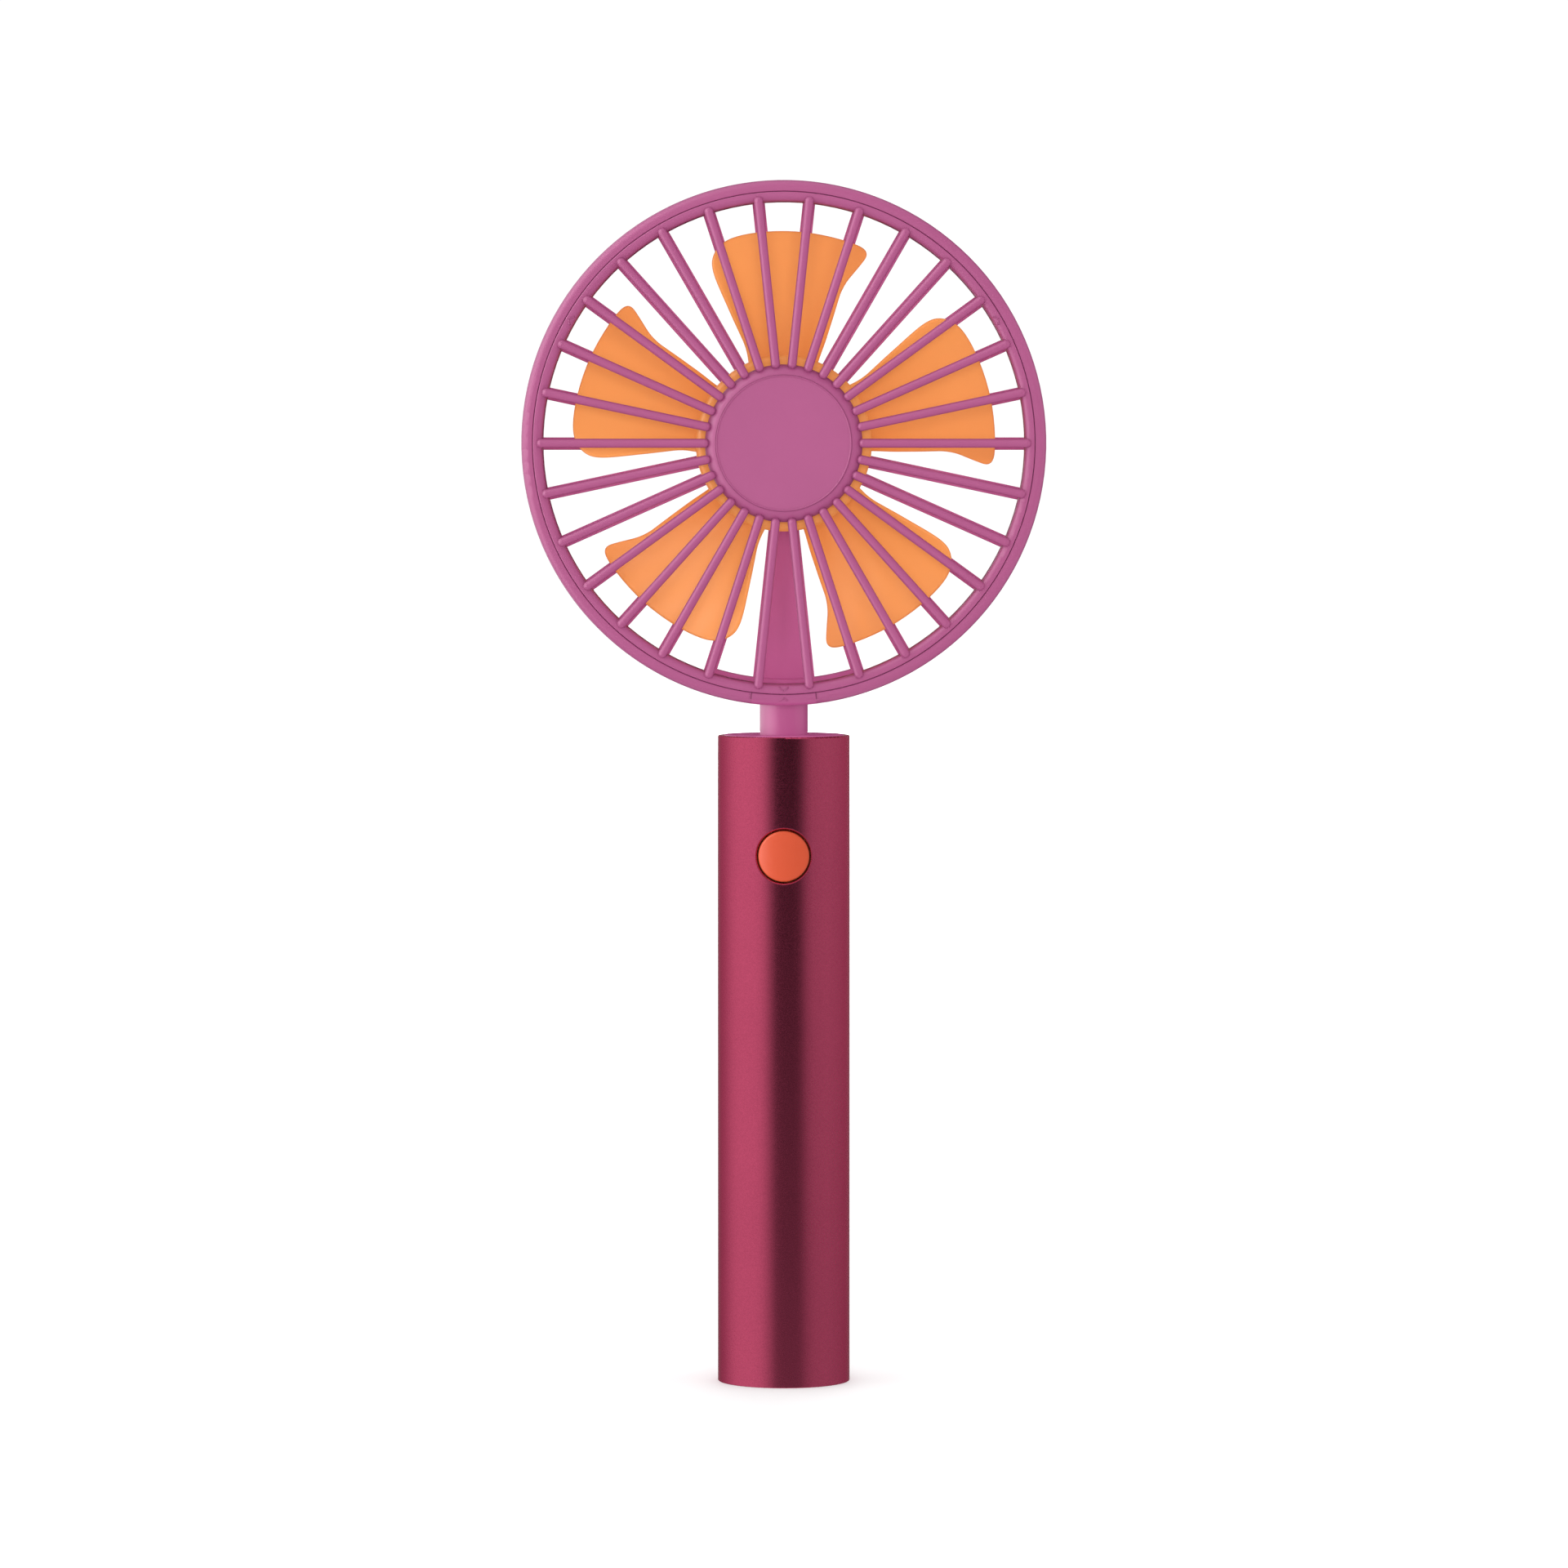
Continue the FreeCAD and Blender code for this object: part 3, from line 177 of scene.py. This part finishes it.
def anodised(name):
    """Bead-blasted and anodised aluminium: fine sparkle in tone, tilt and gloss."""
    m, t, p, c = new_material(name)
    cell = t.nodes.new("ShaderNodeTexVoronoi")
    cell.inputs["Scale"].default_value = 6200
    t.links.new(c.outputs["Object"], cell.inputs["Vector"])
    sep = t.nodes.new("ShaderNodeSeparateColor")
    t.links.new(cell.outputs["Color"], sep.inputs["Color"])
    big = noise(t, c, 45, 3.0)
    mixer = t.nodes.new("ShaderNodeMath")
    mixer.operation = "MULTIPLY_ADD"
    t.links.new(sep.outputs["Red"], mixer.inputs[0])
    mixer.inputs[1].default_value = 0.75
    t.links.new(spread(t, big.outputs["Fac"], 0.0, 0.25), mixer.inputs[2])
    t.links.new(shade(t, mixer.outputs["Value"], (0.455, 0.063, 0.130), (0.560, 0.079, 0.160)), p.inputs["Base Color"])
    p.inputs["Metallic"].default_value = 1.0
    p.inputs["Specular Tint"].default_value = (0.80, 0.48, 0.54, 1)
    t.links.new(spread(t, sep.outputs["Green"], 0.22, 0.31, 0.0, 1.0), p.inputs["Roughness"])
    t.links.new(grain(t, c, ((5200, 0.13, 0.00003), (1500, 0.02, 0.00003)), 0.0001), p.inputs["Normal"])
    return m


handle_metal = anodised("anodised_handle")
steel = metal("plain_steel", (0.55, 0.56, 0.58), 0.32)
ground = metal("ground_steel", (0.62, 0.63, 0.65), 0.2, stretch=(1, 14, 14))
dark_screw = metal("black_oxide", (0.045, 0.045, 0.05), 0.42)
sintered = metal("sintered_magnet", (0.09, 0.09, 0.10), 0.5)
brass = metal("turned_brass", (0.60, 0.41, 0.14), 0.3, stretch=(1, 10, 1))
bronze = metal("oiled_bronze", (0.45, 0.27, 0.10), 0.4)
laminated = metal("laminated_core", (0.16, 0.17, 0.19), 0.45, stretch=(1, 30, 1))
copper = metal("enamelled_copper", (0.62, 0.24, 0.10), 0.28, stretch=(1, 1, 22), layers=((2400, 0.5, 0.00008),))
nickel = metal("nickel_strip", (0.60, 0.58, 0.54), 0.27)
board = moulded("solder_mask", (0.012, 0.10, 0.042), rough=0.3, vary=0.12, layers=((1500, 0.12, 0.00004),))
black = moulded("black_plastic", (0.010, 0.010, 0.011), rough=0.48, vary=0.2)
jacket = moulded("lead_jacket", (0.014, 0.014, 0.015), rough=0.5, vary=0.2)
wrap = moulded("cell_wrap", (0.03, 0.10, 0.32), rough=0.28, vary=0.06, layers=((300, 0.1, 0.0001),))
carrier = moulded("carrier_plastic", (0.70, 0.70, 0.66), rough=0.5, vary=0.03)

FINISH = {
    "rear_guard": pink_glow_wall, "guard_drum": pink_glow_wall, "grille_ring": pink, "rim_band": pink, "neck_stem": pink_neck, "spine_cover": pink, "front_grille": pink,
    "centre_disc": pink_disc, "top_plug": pink_plug, "bottom_cap": pink,
    "impeller": orange, "button_cap": button_red, "handle_tube": handle_metal,
    "spine_screws": dark_screw, "board_screws": dark_screw,
    "rotor_yoke": steel, "ring_magnet": sintered, "motor_shaft": ground, "shaft_clip": steel,
    "thrust_washer": black, "bearing_tube": brass, "bearing_rear": bronze, "bearing_front": bronze,
    "stator_core": laminated, "stator_coils": copper, "motor_board": board, "motor_leads": jacket,
    "stem_clip": steel, "battery_cell": wrap, "contact_negative": nickel, "contact_positive": nickel,
    "inner_carrier": carrier, "control_board": board, "control_chips": black, "switch_body": black,
    "switch_plunger": black, "charge_board": board, "usb_shell": steel, "usb_tongue": black, "charge_leads": jacket,
}
for name, obj in nodes.items():
    obj.data.materials.clear()
    obj.data.materials.append(FINISH[name])
    for poly in obj.data.polygons:
        poly.use_smooth = True
    split = obj.modifiers.new("crisp_edges", "EDGE_SPLIT")
    split.split_angle = math.radians(32)

# ------------------------------------------------------------------ stage
scene = bpy.context.scene
world = bpy.data.worlds.new("studio")
scene.world = world
world.use_nodes = True
wt = world.node_tree
wt.nodes.clear()
wout = wt.nodes.new("ShaderNodeOutputWorld")
wbg = wt.nodes.new("ShaderNodeBackground")
wbg.inputs["Color"].default_value = (1, 1, 1, 1)
wbg.inputs["Strength"].default_value = 1.05
wt.links.new(wbg.outputs["Background"], wout.inputs["Surface"])


def sheet_mesh(name, corners, faces=None):
    me = bpy.data.meshes.new(name)
    me.from_pydata(corners, [], faces or [tuple(range(len(corners)))])
    o = bpy.data.objects.new(name, me)
    scene.collection.objects.link(o)
    return o


floor = sheet_mesh("floor", [(-6, -6, 0), (6, -6, 0), (6, 6, 0), (-6, 6, 0)])
fm, ft, fp, fc = new_material("pale_floor")
fn = noise(ft, fc, 9, 4.0)
ft.links.new(shade(ft, spread(ft, fn.outputs["Fac"], 0.0, 1.0), (0.90, 0.90, 0.90), (0.92, 0.92, 0.92)), fp.inputs["Base Color"])
fp.inputs["Roughness"].default_value = 0.9
fp.inputs["Specular IOR Level"].default_value = 0.1
# painted light: the floor glows, weakly near the middle and more strongly further out, brightening the floor where the
# lamps reach it less
fp.inputs["Emission Color"].default_value = (1, 1, 1, 1)
fd = ft.nodes.new("ShaderNodeVectorMath")
fd.operation = "LENGTH"
ft.links.new(fc.outputs["Object"], fd.inputs[0])
ft.links.new(spread(ft, fd.outputs["Value"], 0.04, 0.16, 0.06, 1.1), fp.inputs["Emission Strength"])
floor.data.materials.append(fm)
floor.visible_glossy = False


def reflector(name, radius, low, high, turn_stops, gain, lifts=(), receivers=None):
    """Ring of reflector card around the set, seen only in gloss.

    turn_stops: (degrees from the front, negative to the left, strength) around the ring.
    lifts: pairs of stops and (height where they are full, height where they are nil), added on top.
    """
    n = 96
    pts, faces = [], []
    for i in range(n):
        a = 2 * math.pi * i / n
        pts += [(radius * math.cos(a), radius * math.sin(a), low), (radius * math.cos(a), radius * math.sin(a), high)]
    for i in range(n):
        j = (i + 1) % n
        faces.append((2 * i, 2 * i + 1, 2 * j + 1, 2 * j))
    o = sheet_mesh(name, pts, faces)
    m = bpy.data.materials.new(name + "_card")
    m.use_nodes = True
    t = m.node_tree
    t.nodes.clear()
    out = t.nodes.new("ShaderNodeOutputMaterial")
    em = t.nodes.new("ShaderNodeEmission")
    co = t.nodes.new("ShaderNodeTexCoord")
    se = t.nodes.new("ShaderNodeSeparateXYZ")
    t.links.new(co.outputs["Object"], se.inputs["Vector"])
    neg = t.nodes.new("ShaderNodeMath")
    neg.operation = "MULTIPLY"
    neg.inputs[1].default_value = -1.0
    t.links.new(se.outputs["Y"], neg.inputs[0])
    at = t.nodes.new("ShaderNodeMath")
    at.operation = "ARCTAN2"
    t.links.new(se.outputs["X"], at.inputs[0])
    t.links.new(neg.outputs["Value"], at.inputs[1])

    def band(stops):
        mr = t.nodes.new("ShaderNodeMapRange")
        mr.inputs["From Min"].default_value = -math.pi
        mr.inputs["From Max"].default_value = math.pi
        t.links.new(at.outputs["Value"], mr.inputs["Value"])
        ramp = t.nodes.new("ShaderNodeValToRGB")
        cr = ramp.color_ramp
        cr.interpolation = "LINEAR"
        while len(cr.elements) > 1:
            cr.elements.remove(cr.elements[-1])
        for i, (deg, v) in enumerate(stops):
            e = cr.elements[0] if i == 0 else cr.elements.new((deg + 180.0) / 360.0)
            e.position = (deg + 180.0) / 360.0
            e.color = (v, v, v, 1)
        t.links.new(mr.outputs["Result"], ramp.inputs["Fac"])
        return ramp.outputs["Color"]

    k = t.nodes.new("ShaderNodeMath")
    k.operation = "MULTIPLY"
    k.inputs[1].default_value = gain
    t.links.new(band(turn_stops), k.inputs[0])
    total = k.outputs["Value"]
    for lift_stops, lift in lifts:
        zr = t.nodes.new("ShaderNodeMapRange")
        zr.inputs["From Min"].default_value = lift[1]
        zr.inputs["From Max"].default_value = lift[0]
        t.links.new(se.outputs["Z"], zr.inputs["Value"])
        mu = t.nodes.new("ShaderNodeMath")
        mu.operation = "MULTIPLY_ADD"
        t.links.new(zr.outputs["Result"], mu.inputs[0])
        t.links.new(band(lift_stops), mu.inputs[1])
        t.links.new(total, mu.inputs[2])
        total = mu.outputs["Value"]
    t.links.new(total, em.inputs["Strength"])
    t.links.new(em.outputs["Emission"], out.inputs["Surface"])
    o.data.materials.append(m)
    o.visible_camera = False
    o.visible_diffuse = False
    o.visible_shadow = False
    o.visible_transmission = False
    if receivers is not None:
        o.light_linking.receiver_collection = receivers
    return o


metal_set = bpy.data.collections.new("lit_metal")
plastic_set = bpy.data.collections.new("lit_plastic")
deep_set = bpy.data.collections.new("lit_deep")
inner_set = bpy.data.collections.new("lit_inner")
neck_set = bpy.data.collections.new("lit_neck")
for name in ("rear_guard", "guard_drum"):
    deep_set.objects.link(nodes[name])
for name in ("rear_guard", "guard_drum", "top_plug"):
    inner_set.objects.link(nodes[name])
neck_set.objects.link(nodes["neck_stem"])
button_set = bpy.data.collections.new("lit_button")
button_set.objects.link(nodes["button_cap"])
front_set = bpy.data.collections.new("lit_front")
front_set.objects.link(floor)
for name, obj in nodes.items():
    if name != "button_cap":
        front_set.objects.link(obj)
for name, obj in nodes.items():
    (metal_set if name == "handle_tube" else plastic_set).objects.link(obj)

reflector("metal_surround", 2.4, -4.0, 4.0, [
    (-180, 0.30), (-150, 0.36), (-120, 0.55), (-100, 0.80), (-85, 0.88), (-50, 0.88), (-38, 0.84), (-28, 0.52), (-19, 0.14),
    (-13, 0.0), (23, 0.0), (31, 0.12), (42, 0.36), (54, 0.44), (80, 0.46), (100, 0.42), (140, 0.40), (180, 0.30),
], 1.0, [
    ([(-180, 0.0), (-34, 0.0), (-22, 0.42), (20, 0.42), (32, 0.22), (44, 0.0), (180, 0.0)], (-0.50, -0.02)),
    ([(-180, 0.18), (-60, 0.18), (-36, 0.10), (-24, 0.0), (30, 0.0), (46, 0.22), (90, 0.26), (140, 0.2), (180, 0.18)], (0.10, -0.45)),
], receivers=metal_set)


def softbox(name, place, aim, wide, high, power, colour=(1, 1, 1), gloss=None, only=None):
    data = bpy.data.lights.new(name, "AREA")
    data.shape = "RECTANGLE"
    data.size = wide
    data.size_y = high
    data.energy = power
    data.color = colour
    o = bpy.data.objects.new(name, data)
    scene.collection.objects.link(o)
    o.location = place
    o.rotation_euler = (Vector(aim) - Vector(place)).to_track_quat("-Z", "Y").to_euler()
    o.visible_camera = False
    if only is not None:
        o.light_linking.receiver_collection = only
    if gloss is None:
        o.visible_glossy = False
    else:
        # lights only the sheen of these pieces
        o.visible_diffuse = False
        o.light_linking.receiver_collection = gloss
    return o


softbox("front_fill", (0.0, -3.0, 0.22), (0, 0, 0.12), 1.3, 1.1, 65.0, only=front_set)
softbox("button_key", (-2.3, -1.93, 0.30), (0, 0, 0.10), 1.0, 1.0, 72.0, only=button_set)
softbox("button_sheen", (-1.8, -1.8, 0.25), (0, 0, 0.10), 1.0, 1.6, 11.0 * math.pi * 1.6, gloss=button_set)
softbox("inner_front", (0.0, -3.0, 0.22), (0, 0, 0.14), 1.3, 1.1, 13.0, only=deep_set)
softbox("inner_left", (-1.6, -2.6, 0.10), (0, 0, 0.14), 1.2, 1.2, 28.0, only=inner_set)
softbox("inner_right", (1.6, -2.6, 0.10), (0, 0, 0.14), 1.2, 1.2, 20.0, only=inner_set)
softbox("back_fill", (0.2, 3.0, 0.5), (0, 0, 0.12), 2.2, 1.8, 60.0)
softbox("left_fill", (-3.0, -0.6, 0.5), (0, 0, 0.12), 2.4, 2.0, 20.0)
softbox("right_fill", (3.0, -0.4, 0.5), (0, 0, 0.12), 2.4, 2.0, 8.0)
softbox("top_fill", (0.0, -0.4, 3.2), (0, 0, 0.12), 3.0, 3.0, 8.0)
softbox("left_sheen", (-1.45, -0.75, 0.55), (0, 0, 0.15), 1.9, 3.4, 4.1 * math.pi * 6.46, gloss=plastic_set)
softbox("left_rim", (-1.15, 0.95, 0.30), (0, 0, 0.14), 1.8, 2.8, 1.7 * math.pi * 5.04, gloss=plastic_set)
softbox("neck_rim", (-1.5, 0.3, 0.25), (0, 0, 0.13), 1.6, 2.4, 1.5 * math.pi * 3.84, gloss=neck_set)
softbox("right_sheen", (1.5, -0.2, 0.20), (0, 0, 0.12), 1.6, 2.4, 0.6 * math.pi * 3.84, gloss=plastic_set)

# ------------------------------------------------------------------ camera
cam_data = bpy.data.cameras.new("camera")
cam = bpy.data.objects.new("camera", cam_data)
scene.collection.objects.link(cam)
scene.camera = cam
CAM = Vector((0.0, -1.25, 0.16836))
LOOK = Vector((0.00004, 0.0, 0.11006))
cam.location = CAM
cam.rotation_euler = (LOOK - CAM).to_track_quat("-Z", "Y").to_euler()
cam_data.sensor_width = 36.0
cam_data.lens = 36.0 * (LOOK - CAM).length / 0.2883
cam_data.clip_start = 0.05
cam_data.clip_end = 60.0
cam_data.dof.use_dof = False

scene.view_settings.view_transform = "Standard"
scene.view_settings.look = "None"
scene.view_settings.exposure = 0.0
scene.view_settings.gamma = 1.0
